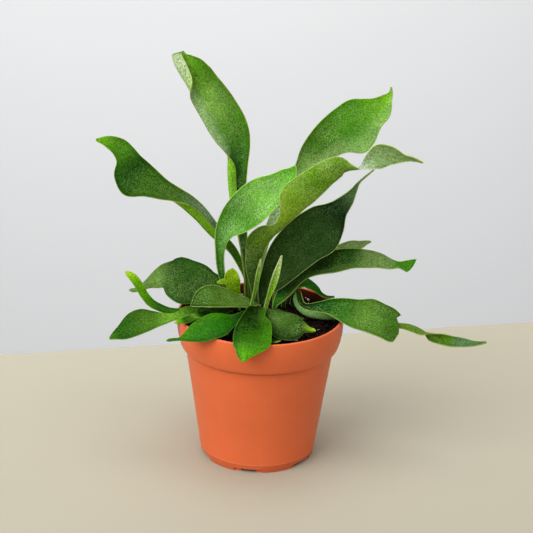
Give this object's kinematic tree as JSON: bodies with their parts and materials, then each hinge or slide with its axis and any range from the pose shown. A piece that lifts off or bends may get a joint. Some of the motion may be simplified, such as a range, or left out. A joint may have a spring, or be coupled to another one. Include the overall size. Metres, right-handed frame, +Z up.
{
  "type": "potted staghorn fern",
  "caption": "Young staghorn fern with broad, forked and strap-shaped fronds, growing in a small moulded plastic pot with a wide collar.",
  "frame": {"origin": "centre of the pot's foot, on the surface that it stands on", "axes": "+Z up along the pot's axis, -Y towards the side that the plant is seen from"},
  "size_m": [0.2545, 0.134, 0.2599],
  "materials": {
    "pot_plastic": "satin terracotta-coloured plastic",
    "potting_mix": "damp dark peat",
    "frond": "leaf with fine pale down",
    "frond_young": "young leaf, light green",
    "frond_olive": "underside of a leaf, olive green",
    "frond_dark": "dark leaf with fine pale down"
  },
  "bodies": {
    "root": {"pot": "pot_plastic", "potting_mix": "potting_mix", "frond_tall": "frond", "frond_left_tail": "frond", "frond_front_bright": "frond_young", "frond_olive": "frond_olive", "frond_upper_right": "frond", "frond_dark": "frond_dark", "frond_right_level": "frond", "frond_right_small": "frond", "frond_right_low": "frond", "frond_left_round": "frond", "frond_left_forked": "frond_young", "frond_centre_low": "frond", "frond_front_left": "frond", "frond_front_droop": "frond", "frond_front_right": "frond", "frond_shade": "frond_dark", "frond_young_yellow": "frond_young", "spear_front": "frond_young", "spear_small": "frond_young", "frond_back_low": "frond_dark"}
  },
  "joints": []
}
